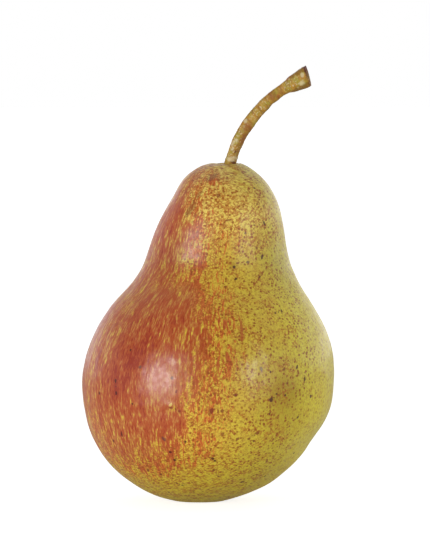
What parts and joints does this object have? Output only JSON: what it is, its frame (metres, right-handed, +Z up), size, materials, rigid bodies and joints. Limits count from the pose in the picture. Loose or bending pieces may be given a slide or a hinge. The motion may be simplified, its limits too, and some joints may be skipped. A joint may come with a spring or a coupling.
{
  "type": "pear",
  "caption": "Whole ripe pear standing on its small flat base, with a curved woody stalk and a dried calyx underneath.",
  "frame": {"origin": "the middle of the belly, on the surface that the pear stands on", "axes": "+Z up through the fruit to its crown, +X the side that the stalk bends towards, -Y the front"},
  "size_m": [0.0725, 0.0696, 0.125],
  "materials": {
    "pear_skin": "satin",
    "stalk_bark": "matte",
    "dried_calyx": "matte"
  },
  "bodies": {
    "root": {"fruit": "pear_skin", "stalk": "stalk_bark", "calyx": "dried_calyx"}
  },
  "joints": []
}
